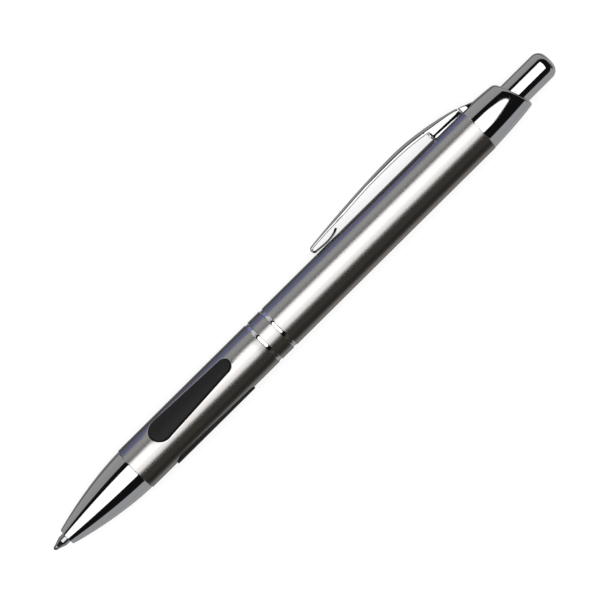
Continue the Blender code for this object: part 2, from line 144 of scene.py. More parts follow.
# ---- cap: a curved outside under a slanted end, with a hood over the clip's root
CAP_CURVE = [(4.97, 120.08), (4.81, 123.6), (4.63, 127.2), (3.95, 131.9)]
CAP_CURVE_STEPS = 400
CAP_EDGE_STEPS = 62  # taken up by the rounded edge
CAP_ROWS = 30
CAP_EDGE_ROUND = (1.0, 0.4)  # mean, and how much more towards the clip
CAP_EDGE_SHARE = 0.86  # of the slanted end's width
CAP_MOUTH_ROUND = 0.12
CAP_FACE_R = 4.92
CAP_BORE_R = 3.2
CAP_BORE_START = 127.1
CAP_INNER_R = 3.9
CAP_SLEEVE_START = 114.0
TOP_CENTRE = 130.2
TOP_SLOPE = math.tan(math.radians(19.3))
HOOD_START = 120.04
HOOD_BOW = 121.1  # where the sides start to draw together
HOOD_END = 123.3
HOOD_TAIL = 0.01  # keeps the last section open
HOOD_HEIGHT = 6.03
HOOD_FALL = 0.385
HOOD_HALF = 1.45
HOOD_EDGE = 0.28
HOOD_BASE_R = 4.25
HOOD_ROWS = 48
SEAM_ROUND = 0.24  # of the edges at the clip's root
SEAM_ROWS = 5

# ---- button
BUTTON_CROWN = ((1.05, 138.0), 2.0)  # centre and radius of its rounded end
BUTTON_CROWN_STEPS = 14
BUTTON_TOP = (0.0, 140.0)
BUTTON_OUTLINE = [(3.05, 131.0), (3.05, 122.4), (3.7, 122.4, 0.12), (3.7, 121.2, 0.12),
                  (2.15, 121.2, 0.1), (2.15, 136.3, 0.4), (0.0, 137.0)]

# ---- pocket clip: its outer line is two curves, a bend and a folded end, (station, height)
CLIP_RISE = [(79.6, 6.98), (90.0, 8.12), (98.3, 8.57), (104.4, 8.57)]
CLIP_DROP = [(104.4, 8.57), (111.193, 8.57), (119.374, 6.382), (119.76, 6.14)]
CLIP_BEND_R = 0.84
CLIP_BEND_END = 263.0  # degrees
CLIP_FOLD = [(82.2, 5.03), (84.0, 4.87), (85.8, 5.85)]
CLIP_STEPS = (160, 50, 22, 24)  # along the drop, the rise, the bend and the folded end
CLIP_UPRIGHT = (83.0, 92.0)  # where the sections turn upright
CLIP_SHEET = 0.46
CLIP_TIP_HALF = 1.25  # half width at CLIP_TIP
CLIP_ROOT_HALF = 1.45  # half width CLIP_REACH further on
CLIP_TIP = 80.0
CLIP_REACH = 40.0
CLIP_TOP_START = 80.5  # beyond the bend
CLIP_FALL = (0.004, 0.012)  # halfway to the edge, and at it
# Radius of the arm's rounded edge, and how it changes along the arm.
EDGE_R_BEND = 0.05
EDGE_R_START = 0.4
EDGE_R_FLANGE = 0.78
EDGE_R_SWELL = 0.25
EDGE_R_LOSS = 0.42
EDGE_STEPS = 7
RIM_BEND = 0.05  # rounding of the strip's lower edge
RIM_FLANGE = 0.2
SLIM_SHEET = CLIP_SHEET + 0.001  # depth without a flange
ARM_START_DEPTH = 0.6
FLANGE_DEPTH = 1.0
DEPTH_SWELL = 0.24
TURNED_UP = (0.5, 0.95)  # where the bend becomes the arm
FLANGE_RUN = (80.4, 90.0)
SWELL_RUN = (95.0, 106.0)
LOSS_RUN = (113.0, 119.5)
DRAFT = 0.28  # depth of the leaning flank
DRAFT_RUN = (93.0, 99.0)
DRAFT_STOP = (110.8, 111.8)
DRAFT_LEAN = 25.5  # degrees
FULL_LEAN = 0.1  # depth at which it leans in full
BEVEL_FOLD = 0.235  # lean of the sheet's cut edge
BEVEL_ARM = 0.16
BEVEL_END = 0.165
BEVEL_TURN = 3.0  # how fast it changes sides
INNER_ROUND = 0.2  # of the channel's inside corner
ROUND_MIDDLE = 0.3  # a rounded corner's middle point, as a share of its radius
END_ROWS = ((0.07, 0.9), (0.11, 0.72))  # (distance past the end, thickness)
END_WIDTH_SHARE = 0.3  # how much of it the width takes

# ---- the clip's foot on the barrel
FOOT_TOP = 111.9
FOOT_BASE = 112.1
FOOT_ROUND = 1.25  # of its front corner
FOOT_LIFT = (0.18, -0.1)  # of the cove, from front to back
FOOT_LIFT_RUN = 6.5
FLANK_END = 6.0
FLANK_LEAST = 0.1
# The cove between flank and lip: (distance out, height, share of the lift).
COVE = [(0.02, 5.68, 1.0), (0.14, 5.42, 0.8), (0.30, 5.14, 0.5), (0.36, 4.98, 0.2)]
LIP_OUT = 0.42
LIP_WIDTH = 0.3
LIP_THICKNESS = 0.06
SADDLE_R = 5.145
SADDLE_SHARES = (0.6, 0.45, 0.3, 0.0)  # of the half width
LOWER_PART = 5.6  # the root's end is drawn down only above this

# ---- refill and spring
POINT_OUTLINE = [(0.3, 14.0), (1.12, 14.0, 0.1), (1.12, 2.42, 0.5), (0.62, 1.02, 1.2), (0.41, 0.23, 0.04),
                 (0.345, 0.22), (0.37, 0.29), (0.37, 0.52), (0.2, 0.78), (0.3, 0.95)]
NECK_OUTLINE = [(1.2, 20.4), (1.6, 20.4), (1.6, 12.2, 0.05), (1.5, 12.1), (1.5, 11.9), (1.6, 11.8, 0.05),
                (1.6, 11.0, 0.2), (1.2, 11.0)]
TUBE_R = 3.0
TUBE_BORE_R = 2.65
TUBE_END = 95.0
TUBE_FRONT = [(TUBE_R, 18.0, 0.3), (1.7, 18.0), (1.7, 20.6), (TUBE_BORE_R, 20.6)]
TUBE_BEADS = (92.6, 90.6, 24.4)
TUBE_BEAD_DEPTH = 0.1
TUBE_BEAD_HALF = 0.35
TAIL_OUTLINE = [(0.7, 90.0), (0.7, 98.0), (2.3, 98.0, 0.2), (2.5, 97.4, 0.3), (2.5, 96.6),
                (3.0, 96.6, 0.15), (3.0, 95.1, 0.1), (2.55, 95.1), (2.55, 90.0, 0.2)]
BALL_R = 0.35
BALL_ROWS = 28
SPRING_R = 2.0  # to the middle of the wire
SPRING_START = 8.3
SPRING_END = 17.35
SPRING_TURNS = 10  # with one closed turn at each end
SPRING_STEPS = 40  # a turn
WIRE_R = 0.2
WIRE_GAP = 0.06  # between the closed turns

# ---- threads
THREAD_LEAD = 0.8
THREAD_FLAT = 0.2  # share at the root and at the crest
THREAD_FADE = (0.8, 0.5)  # at the low and the high end
THREAD_ROW = 0.08
MALE_R = 3.98
MALE_BORE_R = 3.4
MALE_DEPTH = 0.22
MALE_SPAN = (63.3, 68.1)
MALE_CORE_R = 3.9  # under which nothing is threaded
MALE_ROWS = 61
MALE_FRONT = [(MALE_BORE_R, 53.5), (MALE_BORE_R, 68.4), (3.72, 68.4, 0.05), (MALE_R, 68.15)]
MALE_SHANK = [(MALE_R, RING_START - SEAM), (INSERT_R, RING_START - SEAM, 0.1), (INSERT_R, 57.0),
              (INSERT_R - 0.15, 56.8), (INSERT_R - 0.15, 56.2), (INSERT_R, 56.0), (INSERT_R, 53.5, 0.2)]
FEMALE_R = 4.05
FEMALE_DEPTH = 0.14
FEMALE_SPAN = (63.8, 71.8)
FEMALE_OUTER_R = 4.1  # over which nothing is threaded
FEMALE_ROWS = 102
FEMALE_ENDS = (63.65, 72.0)

# ---- click mechanism; a block is (size across, sideways and along), (radius, station)
SLEEVE_OUTLINE = [(3.45, 96.0), (3.45, 112.7), (2.25, 112.7), (2.25, 113.5, 0.1), (INSERT_R, 113.5, 0.15),
                  (INSERT_R, 96.0, 0.15)]
RIBS_OUTLINE = [(2.8, 103.4), (2.8, 113.1), (3.65, 113.1), (3.65, 103.4)]
RIB_SLOT = ((13.0, 2.0, 40.0), (0.0, 108.4))
ROTOR_OUTLINE = [(0.0, 107.6), (1.2, 107.6, 0.2), (1.2, 103.3, 0.1), (2.5, 102.2, 0.1), (2.5, 98.3, 0.2),
                 (0.0, 98.3)]
ROTOR_FINS = ((6.5, 1.3, 3.3), (0.0, 101.25))
ROTOR_FIN_EDGE = 0.12
PLUNGER_OUTLINE = [(1.4, 103.2), (1.4, 108.6), (1.2, 109.0), (1.2, 136.0), (2.0, 136.0, 0.15), (2.0, 108.6),
                   (2.5, 108.0), (2.5, 103.2)]
PLUNGER_LUG = ((0.9, 1.3, 2.4), (2.8, 106.4))
PLUNGER_LUG_EDGE = 0.1
PLUNGER_NOTCH = ((1.6, 0.85, 0.85), (2.1, 103.2))
LUGS = 4
NOTCHES = 8


# -------- curves

def bezier(points, steps):
    """Points along a cubic curve, both ends included."""
    p0, p1, p2, p3 = [Vector(p) for p in points]
    found = []
    for i in range(steps + 1):
        t = i / steps
        u = 1.0 - t
        found.append(tuple(u ** 3 * p0 + 3 * u * u * t * p1 + 3 * u * t * t * p2 + t ** 3 * p3))
    return found


def arc(centre, radius, start, end, steps):
    """Points on an arc, angles in degrees, both ends included."""
    found = []
    for i in range(steps + 1):
        angle = math.radians(start + (end - start) * i / steps)
        found.append((centre[0] + radius * math.cos(angle), centre[1] + radius * math.sin(angle)))
    return found


def corner(before, point, after, radius, steps=CORNER_STEPS, share=0.49):
    """The arc that rounds a corner of an outline, using up to a share of each side."""
    before, point, after = Vector(before), Vector(point), Vector(after)
    u = before - point
    v = after - point
    half = u.angle(v) / 2
    reach = min(radius / math.tan(half), share * u.length, share * v.length)
    radius = reach * math.tan(half)
    u.normalize()
    v.normalize()
    centre = point + (u + v).normalized() * radius / math.sin(half)
    first = point + u * reach - centre
    last = point + v * reach - centre
    sweep = math.pi - 2 * half
    found = []
    for i in range(steps + 1):
        t = i / steps
        mixed = (first * math.sin((1 - t) * sweep) + last * math.sin(t * sweep)) / math.sin(sweep)
        found.append(tuple(centre + mixed))
    return found


def rounded(outline, steps=CORNER_STEPS):
    """A closed outline with the corners that carry a third number rounded to that radius."""
    found = []
    for i, point in enumerate(outline):
        if len(point) < 3:
            found.append(tuple(point))
            continue
        before = outline[i - 1][:2]
        after = outline[(i + 1) % len(outline)][:2]
        found += corner(before, point[:2], after, point[2], steps)
    return found


def clamp(value, low=0.0, high=1.0):
    return min(max(value, low), high)


def smoothstep(low, high, value):
    """0 below low and 1 above high, with a soft start and end."""
    t = clamp((value - low) / (high - low))
    return t * t * (3 - 2 * t)


def mix(a, b, t):
    return a + (b - a) * t


def inset_of_round(radius, along):
    """How far a rounded end of that radius lies inside, at a distance along from its very end."""
    return radius * (1 - math.sqrt(1 - (1 - clamp(along / radius)) ** 2))


# -------- meshes

def skin(name, rings, wrap=False, caps=False):
    """A surface through closed rings of (station, y, z) in millimetres."""
    count = len(rings[0])
    points = [(TIP_X + s * MM, y * MM, z * MM) for ring in rings for s, y, z in ring]
    faces = []
    last = len(rings) if wrap else len(rings) - 1
    for i in range(last):
        a = i * count
        b = (i + 1) % len(rings) * count
        for j in range(count):
            k = (j + 1) % count
            faces.append((a + j, a + k, b + k, b + j))
    if caps:
        faces.append(tuple(range(count)))
        faces.append(tuple(range((len(rings) - 1) * count, len(rings) * count)))
    mesh = bpy.data.meshes.new(name)
    mesh.from_pydata(points, [], faces)
    item = new_object(name, mesh)
    clean(mesh)
    return item


def new_object(name, data):
    item = bpy.data.objects.new(name, data)
    bpy.context.scene.collection.objects.link(item)
    return item


def clean(mesh):
    """Join doubled points, drop faces without area and turn all faces outwards."""
    shape = bmesh.new()
    shape.from_mesh(mesh)
    bmesh.ops.remove_doubles(shape, verts=shape.verts, dist=SAME_POINT)
    bmesh.ops.dissolve_degenerate(shape, edges=shape.edges, dist=SHORTEST_EDGE)
    bmesh.ops.recalc_face_normals(shape, faces=shape.faces)
    shape.to_mesh(mesh)
    shape.free()


def round_axis(radius, station, angle):
    """The (station, y, z) of a point at a radius and an angle in radians."""
    return station, radius * math.cos(angle), radius * math.sin(angle)


def turned(name, outline, around=AROUND, shift=None):
    """A solid of revolution from an outline of (radius, station); shift changes a radius by place."""
    rings = []
    for radius, station in outline:
        ring = []
        for j in range(around):
            angle = math.tau * j / around
            r = shift(radius, station, angle) if shift else radius
            ring.append(round_axis(r, station, angle))
        rings.append(ring)
    solid_core = outline[0][0] == 0.0 and outline[-1][0] == 0.0
    return skin(name, rings, wrap=not solid_core)


def combine(item, tool, operation):
    """Join or cut with another mesh, which is used up."""
    modifier = item.modifiers.new(operation, "BOOLEAN")
    modifier.operation = operation
    modifier.solver = "EXACT"
    modifier.object = tool
    depsgraph = bpy.context.evaluated_depsgraph_get()
    mesh = bpy.data.meshes.new_from_object(item.evaluated_get(depsgraph))
    item.modifiers.clear()
    item.data = mesh
    clean(mesh)
    bpy.data.objects.remove(tool, do_unlink=True)


def block(size, place, turn, edge=0.0):
    """A box of size (across, sideways, along) at place (radius, station), turned about the axis."""
    across, sideways, along = size
    radius, station = place
    mesh = bpy.data.meshes.new("block")
    shape = bmesh.new()
    bmesh.ops.create_cube(shape, size=1.0)
    bmesh.ops.scale(shape, vec=[along * MM, across * MM, sideways * MM], verts=shape.verts)
    if edge:
        bmesh.ops.bevel(shape, geom=shape.edges, offset=edge * MM, segments=3, profile=0.5,
                        affect="EDGES")
    bmesh.ops.translate(shape, vec=(TIP_X + station * MM, radius * MM, 0.0), verts=shape.verts)
    bmesh.ops.rotate(shape, verts=shape.verts, matrix=Matrix.Rotation(math.radians(turn), 3, "X"))
    shape.to_mesh(mesh)
    shape.free()
    return new_object("block", mesh)


def finish(item, material, body, node, weighted=True):
    """Shade, paint and hand over one piece to the body it rides on."""
    for face in item.data.polygons:
        face.use_smooth = True
    item.data.set_sharp_from_angle(angle=math.radians(SMOOTH_BELOW))
    if weighted:
        modifier = item.modifiers.new("Normals", "WEIGHTED_NORMAL")
        modifier.keep_sharp = True
    item.data.materials.clear()
    item.data.materials.append(material)
    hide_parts(node)
    if body:
        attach(item, body)


# -------- materials

EDGE_STARTS = 0.995  # cosine between the soft and the true normal where wear starts
EDGE_FULL = 0.9
BROAD_SIZE = 6.0  # of the broad noise
BROAD_DETAIL = 4.0
FINE_DETAIL = 3.0
WEAR_LEAST = 0.2  # of an edge, where the broad noise is low
WEAR_ROUGH = 0.06  # what wear adds to the roughness
GRAIN_DARK = 0.86  # the grain's darker colour, as a share of the plain one
GRAIN_MOST = 0.35  # share of the darker colour at most
BROAD_SHARE = 0.4  # of the roughness's variation
MICRON = 1e-6


def add(tree, kind, settings=None, **inputs):
    """A node with its settings and inputs set; an input may be a value or another node's output.

    An input's name has its spaces written as underscores, and i0, i1 and so on go by number.
    """
    made = tree.nodes.new(kind)
    for key, value in (settings or {}).items():
        setattr(made, key, value)
    for key, value in inputs.items():
        numbered = key[0] == "i" and key[1:].isdigit()
        socket = made.inputs[int(key[1:]) if numbered else key.replace("_", " ")]
        join(tree, value, socket)
    return made


def join(tree, value, socket):
    """Give a socket a value or link another node's output to it."""
    if isinstance(value, bpy.types.NodeSocket):
        tree.links.new(value, socket)
    else:
        socket.default_value = value


def maths(tree, operation, a, b=0.0, limited=False):
    """The output of a Math node; limited keeps it within 0 to 1."""
    made = add(tree, "ShaderNodeMath", {"operation": operation, "use_clamp": limited}, i0=a, i1=b)
    return made.outputs[0]


def product(tree, a, b):
    return maths(tree, "MULTIPLY", a, b)


def total(tree, a, b, limited=False):
    return maths(tree, "ADD", a, b, limited)


def noise(tree, coords, scale, stretch=(1.0, 1.0, 1.0), detail=2.0):
    """Noise of 0 to 1, its coordinates first stretched along each axis."""
    mapped = add(tree, "ShaderNodeMapping", None, Vector=coords, Scale=stretch)
    made = add(tree, "ShaderNodeTexNoise", None, Vector=mapped.outputs[0], Scale=scale, Detail=detail)
    return made.outputs["Fac"]


def remap(tree, value, low, high, to_low, to_high):
    """A value mapped from one range to another, and held at its ends."""
    made = add(tree, "ShaderNodeMapRange", None, Value=value, From_Min=low, From_Max=high,
               To_Min=to_low, To_Max=to_high)
    return made.outputs[0]


def blend_colour(tree, factor, a, b):
    made = add(tree, "ShaderNodeMix", {"data_type": "RGBA"})
    for index, value in ((0, factor), (6, a), (7, b)):    # the factor's and the colours' sockets
        join(tree, value, made.inputs[index])
    return made.outputs[2]


def edge_mask(tree, width):
    """1 on edges tighter than width (mm), 0 on flats."""
    soft = add(tree, "ShaderNodeBevel", {"samples": 4}, Radius=width * MM)
    shape = add(tree, "ShaderNodeNewGeometry")
    facing = add(tree, "ShaderNodeVectorMath", {"operation": "DOT_PRODUCT"},
                 i0=soft.outputs[0], i1=shape.outputs["Normal"])
    return remap(tree, facing.outputs["Value"], EDGE_STARTS, EDGE_FULL, 0.0, 1.0)


def surface(name, colour, worn, metallic, rough, spread, grain, bump, edge=0.06, polish=None):
    """A procedural finish.

    colour and worn are the plain and the edge colour; rough is the mean roughness and spread its
    variation; grain is (size along the axis, size around) in millimetres; bump is its height in
    micrometres; polish is (radius, roughness, colour) for the parts of a piece that lie below a radius.
    """
    material = bpy.data.materials.new(name)
    material.use_nodes = True
    tree = material.node_tree
    shader = tree.nodes["Principled BSDF"]
    coords = add(tree, "ShaderNodeTexCoord").outputs["Object"]
    along, around = 1.0 / (grain[0] * MM), 1.0 / (grain[1] * MM)
    fine = noise(tree, coords, 1.0, (along, around, around), FINE_DETAIL)
    broad = noise(tree, coords, 1.0 / (BROAD_SIZE * MM), detail=BROAD_DETAIL)
    worn_edge = product(tree, edge_mask(tree, edge), remap(tree, broad, 0.35, 0.65, WEAR_LEAST, 1.0))
    tint = remap(tree, fine, 0.3, 0.7, 0.0, GRAIN_MOST)
    darker = tuple(c * GRAIN_DARK for c in colour)
    base = blend_colour(tree, tint, (*colour, 1.0), (*darker, 1.0))
    roughness = total(tree, remap(tree, fine, 0.25, 0.75, rough - spread, rough + spread),
                      remap(tree, broad, 0.3, 0.7, -BROAD_SHARE * spread, BROAD_SHARE * spread))
    if polish:
        limit, polished_rough, polished_colour = polish
        place = add(tree, "ShaderNodeSeparateXYZ", None, Vector=coords)
        squared = total(tree, maths(tree, "POWER", place.outputs["Y"], 2.0),
                        maths(tree, "POWER", place.outputs["Z"], 2.0))
        inside = maths(tree, "LESS_THAN", squared, (limit * MM) ** 2)
        base = blend_colour(tree, inside, base, (*polished_colour, 1.0))
        outside = maths(tree, "SUBTRACT", 1.0, inside)
        roughness = total(tree, product(tree, roughness, outside), product(tree, inside, polished_rough))
    base = blend_colour(tree, worn_edge, base, (*worn, 1.0))
    roughness = total(tree, roughness, product(tree, worn_edge, WEAR_ROUGH), limited=True)
    relief = add(tree, "ShaderNodeBump", None, Height=fine, Distance=bump * MICRON, Strength=1.0)
    for name, value in (("Base Color", base), ("Roughness", roughness), ("Metallic", metallic),
                        ("Normal", relief.outputs[0])):
        join(tree, value, shader.inputs[name])
    return material


METAL, PLAIN = 1.0, 0.0
SATIN = surface("satin_lacquer", (0.279, 0.272, 0.268), (0.45, 0.45, 0.45), METAL, 0.27, 0.008,
                (0.15, 5.0), 0.015, polish=(5.035, 0.08, (0.5, 0.5, 0.5)))
CHROME = surface("polished_chrome", (0.86, 0.86, 0.87), (0.92, 0.92, 0.92), METAL, 0.05, 0.015,
                 (0.3, 0.3), 0.02)
STEEL = surface("bright_steel", (0.62, 0.62, 0.64), (0.8, 0.8, 0.8), METAL, 0.13, 0.04,
                (0.06, 3.0), 0.3)
BRASS = surface("turned_brass", (0.72, 0.53, 0.24), (0.85, 0.68, 0.36), METAL, 0.24, 0.06,
                (0.08, 4.0), 0.5)
RUBBER = surface("black_rubber", (0.02, 0.02, 0.021), (0.035, 0.035, 0.036), PLAIN, 0.62, 0.06,
                 (0.09, 0.09), 6.0, edge=0.12)
PLASTIC = surface("moulded_plastic", (0.72, 0.72, 0.70), (0.8, 0.8, 0.79), PLAIN, 0.42, 0.05,
                  (0.25, 0.25), 1.5)
# Painted shade: near-black plastic for the liner, so that the gap round each rubber inset reads as a dark
# line.
GAP_SHADE_PLASTIC = surface("gap_shade_plastic", (0.03, 0.03, 0.032), (0.06, 0.06, 0.06), PLAIN, 0.45, 0.05,
                       (0.25, 0.25), 1.5)


# -------- barrel

def groove(edge, seam):
    """The concave groove from the barrel's surface to the seam beside the ring."""
    found = []
    for i in range(GROOVE_STEPS + 1):
        t = i / GROOVE_STEPS
        dip = GROOVE_DEPTH * math.sin(math.pi * GROOVE_SWEEP * t)
        found.append((BARREL_R - dip, mix(edge, seam, t)))
    return found


def ladder(low, high, count):
    """Stations between two ends, so that long walls carry even rows."""
    return [mix(low, high, i / (count + 1)) for i in range(1, count + 1)]


def teardrop(grow):
    """The inset's outline, widened by grow, as (station, offset across) from its wide end and round."""
    wide = PAD_WIDE + grow
    narrow = PAD_NARROW + grow
    low = PAD_START + PAD_WIDE
    high = PAD_END - PAD_NARROW
    lean = math.degrees(math.asin((wide - narrow) / (high - low)))
    wide_steps, side_steps, narrow_steps = TEARDROP_STEPS
    first = arc((low, 0.0), wide, 180, 90 - lean, wide_steps)
    last = arc((high, 0.0), narrow, 90 - lean, 0, narrow_steps)
    side = []
    for i in range(1, side_steps):
        t = i / side_steps
        side.append((mix(first[-1][0], last[0][0], t), mix(first[-1][1], last[0][1], t)))
    half = first + side + last
    half[0] = (half[0][0], 0.0)
    half[-1] = (half[-1][0], 0.0)
    return half + [(s, -w) for s, w in reversed(half[1:-1])]


def wrapped(outline, radius, turn):
    """A flat outline pushed out to a cylinder of that radius, facing the given turn."""
    ring = []
    cos_t = math.cos(math.radians(turn))
    sin_t = math.sin(math.radians(turn))
    for s, w in outline:
        out = math.sqrt(radius * radius - w * w)
        ring.append((s, out * cos_t - w * sin_t, out * sin_t + w * cos_t))
    return ring


def window_tool(turn):
    """The cutter for one window in the lower barrel, with a chamfer at the barrel's surface."""
    rings = [wrapped(teardrop(PAD_GAP + WINDOW_CHAMFER * wider), radius, turn)
             for wider, radius in WINDOW_LEVELS]
    return skin("window", rings, caps=True)


def build_barrel():
    bottom, top = NOSE_SEAM + SEAM, RING_START - SEAM
    outline = [(BORE_R, s) for s in ladder(bottom, top, BORE_ROWS)]
    outline.append((BORE_R, top))
    outline += list(reversed(groove(top - GROOVE_WIDTH, top)))
    wall = ladder(NOSE_SEAM + NOSE_MARGIN, RING_START - WALL_MARGIN, WALL_ROWS)
    outline += [(BARREL_R, s) for s in reversed(wall)]
    outline += [(BARREL_R, bottom, LOWER_END_ROUND), (BORE_R, bottom)]
    lower = turned("lower_tube", rounded(outline))
    for turn in PAD_TURNS.values():
        combine(lower, window_tool(turn), "DIFFERENCE")
    finish(lower, SATIN, "lower_half", "lower_barrel")

    bottom, top = RING_END + SEAM, CAP_SEAM - SEAM
    outline = [(BORE_R, top), (BARREL_R, top, UPPER_END_ROUND)]
    wall = ladder(RING_END + WALL_MARGIN, top - WALL_MARGIN, WALL_ROWS)
    outline += [(BARREL_R, s) for s in reversed(wall)]
    outline += groove(bottom + GROOVE_WIDTH, bottom)
    outline += [(BORE_R, bottom)]
    upper = turned("upper_tube", rounded(outline))
    finish(upper, SATIN, "root", "upper_barrel")

    ring = turned("middle_band", rounded([
        (BORE_R, RING_END), (BARREL_R, RING_END, BAND_ROUND), (BARREL_R, RING_END - BAND_ROW),
        (BARREL_R, RING_START + BAND_ROW), (BARREL_R, RING_START, BAND_ROUND), (BORE_R, RING_START)]))
    finish(ring, SATIN, "centre_ring", "centre_ring")


def inset(name, turn):
    """A rubber inset: rounded shoulder, slightly domed top, smooth underside."""
    levels = [(0.0, PAD_BOTTOM_R), (0.0, PAD_SIDE_R - PAD_WALL), (0.0, PAD_SIDE_R)]
    for i in range(1, 7):
        angle = math.radians(15 * i)
        levels.append((-PAD_SHOULDER * (1 - math.cos(angle)),
                       mix(PAD_SIDE_R, PAD_TOP_R - PAD_DOME, math.sin(angle))))
    rings = [wrapped(teardrop(grow), radius, turn) for grow, radius in levels]
    item = skin(name, rings)
    shape = bmesh.new()
    shape.from_mesh(item.data)
    close_face(shape, levels[-1], turn, PAD_TOP_R)
    close_face(shape, levels[0], turn, PAD_BOTTOM_R)
    bmesh.ops.remove_doubles(shape, verts=shape.verts, dist=SAME_SEAM)
    bmesh.ops.recalc_face_normals(shape, faces=shape.faces)
    shape.to_mesh(item.data)
    shape.free()
    return item


def close_face(shape, level, turn, crown_radius):
    """Fill a ring of the inset with rows of faces that follow the cylinder."""
    grow, edge_radius = level
    outline = teardrop(grow)
    half = len(outline) // 2
    rows = []
    for i in range(half + 1):
        s, w = outline[i]
        row = []
        for j in range(PAD_COLUMNS + 1):
            across = 1 - 2 * j / PAD_COLUMNS
            rise = (1 - across ** 4) * smoothstep(0, PAD_END_ROWS, min(i, half - i))
            radius = mix(edge_radius, crown_radius, rise)
            (_, y, z), = wrapped([(s, w * across)], radius, turn)
            row.append(shape.verts.new((TIP_X + s * MM, y * MM, z * MM)))
            if w == 0.0:
                break
        rows.append(row)
    for a, b in zip(rows, rows[1:]):
        for j in range(PAD_COLUMNS):
            if len(a) == 1:
                shape.faces.new((a[0], b[j], b[j + 1]))
            elif len(b) == 1:
                shape.faces.new((a[j], a[j + 1], b[0]))
            else:
                shape.faces.new((a[j], a[j + 1], b[j + 1], b[j]))


def build_grip():
    for place, turn in PAD_TURNS.items():
        pad = inset(f"rubber_inset_{place}", turn)
        finish(pad, RUBBER, "lower_half", f"grip_pad_{place}", weighted=False)
    outline = [(LINER_BORE_R, LINER_END, 0.1), (INSERT_R, LINER_END, 0.15)]
    floor_r = INSERT_R - LINER_GROOVE_DEPTH
    top_half, floor_half = LINER_GROOVE_HALF
    for s in LINER_GROOVES:
        outline += [(INSERT_R, s + top_half), (floor_r, s + floor_half), (floor_r, s - floor_half),
                    (INSERT_R, s - top_half)]
    outline += [(INSERT_R, LINER_START, 0.15), (LINER_BORE_R, LINER_START, 0.1)]
    liner = turned("inset_carrier", rounded(outline))
    # The liner is coloured near-black as painted shade for the gap round each inset.
    finish(liner, GAP_SHADE_PLASTIC, "lower_half", "grip_liner")


# -------- nose, cap, button

def build_nose():
    outside = list(reversed(bezier(NOSE_CURVE, NOSE_STEPS)))[1:-1]
    nose = turned("chrome_nose", rounded(NOSE_SPIGOT + outside + NOSE_BORE), AROUND_NOSE)
    finish(nose, CHROME, "lower_half", "nose_cone")


def cap_outline(cos_angle):
    """The cap's section at one angle round the axis, as (radius, station)."""
    def slanted_end(radius):
        return TOP_CENTRE - radius * cos_angle * TOP_SLOPE

    curve = bezier(CAP_CURVE, CAP_CURVE_STEPS)
    last = next(i for i, (radius, station) in enumerate(curve) if station - slanted_end(radius) >= 0)
    edge = curve[last]
    start = last - CAP_EDGE_STEPS
    inner = (CAP_BORE_R, slanted_end(CAP_BORE_R))
    bore = (CAP_BORE_R, CAP_BORE_START)
    mean, more = CAP_EDGE_ROUND
    outline = [(INSERT_R, CAP_SLEEVE_START), (INSERT_R, CAP_SEAM), (CAP_FACE_R, CAP_SEAM)]
    outline += [curve[round(start * i / CAP_ROWS)] for i in range(CAP_ROWS + 1)]
    outline += corner(curve[start], edge, inner, mean + more * cos_angle, 12, CAP_EDGE_SHARE)
    outline += corner(edge, inner, bore, CAP_MOUTH_ROUND, 4, 0.1)
    outline += [bore, (CAP_INNER_R, CAP_BORE_START), (CAP_INNER_R, CAP_SLEEVE_START)]
    return outline


def hood():
    """The raised tunnel on the cap that the clip's root runs into; its plan ends like a bow."""
    quarter = math.pi / 2
    stations = [HOOD_START + SEAM_ROUND * (1 - math.cos(quarter * i / SEAM_ROWS)) for i in range(SEAM_ROWS)]
    stations += [mix(HOOD_START + SEAM_ROUND, HOOD_END, math.sin(quarter * i / HOOD_ROWS))
                 for i in range(HOOD_ROWS + 1)]
    rings = []
    for s in stations:
        height = HOOD_HEIGHT - HOOD_FALL * (s - CAP_SEAM)
        bow = max(s - HOOD_BOW, 0.0) / (HOOD_END + HOOD_TAIL - HOOD_BOW)
        half = HOOD_HALF * math.sqrt(1 - bow * bow)
        edge = min(HOOD_EDGE, 0.5 * half)
        soft = inset_of_round(SEAM_ROUND, s - HOOD_START)
        height, half = height - soft, half - soft
        side = rounded([(height, -half, edge), (height, half, edge), (HOOD_BASE_R, half),
                        (HOOD_BASE_R, -half)])
        rings.append([(s, y, z) for y, z in side])
    return skin("hood", rings, caps=True)


def build_cap():
    angles = [math.tau * j / AROUND_CAP for j in range(AROUND_CAP)]
    columns = [cap_outline(math.cos(angle)) for angle in angles]
    rings = [[round_axis(*column[i], angle) for column, angle in zip(columns, angles)]
             for i in range(len(columns[0]))]
    cap = skin("chrome_cap", rings, wrap=True)
    combine(cap, hood(), "UNION")
    finish(cap, CHROME, "root", "end_cap")


def build_button():
    crown = arc(*BUTTON_CROWN, 90, 0, BUTTON_CROWN_STEPS)
    button = turned("thrust_button", [BUTTON_TOP] + crown + rounded(BUTTON_OUTLINE, 8))
    finish(button, CHROME, "button", "push_button")


# -------- clip

def rounded_rim(rim, round_r, lean=0.0, flank=0.0):
    """The outer face and its rounded edge, ending at a lean in degrees, over a flank of that depth."""
    fall = CLIP_FALL[1]
    start = rim - round_r * math.cos(math.radians(lean)) - flank * math.tan(math.radians(lean))
    points = [(0.0, 0.0), (0.5 * start, -CLIP_FALL[0]), (start, -fall)]
    for i in range(1, EDGE_STEPS + 1):
        angle = math.radians(90 - (90 - lean) * i / EDGE_STEPS)
        points.append((start + round_r * math.cos(angle), -fall - round_r + round_r * math.sin(angle)))
    return points


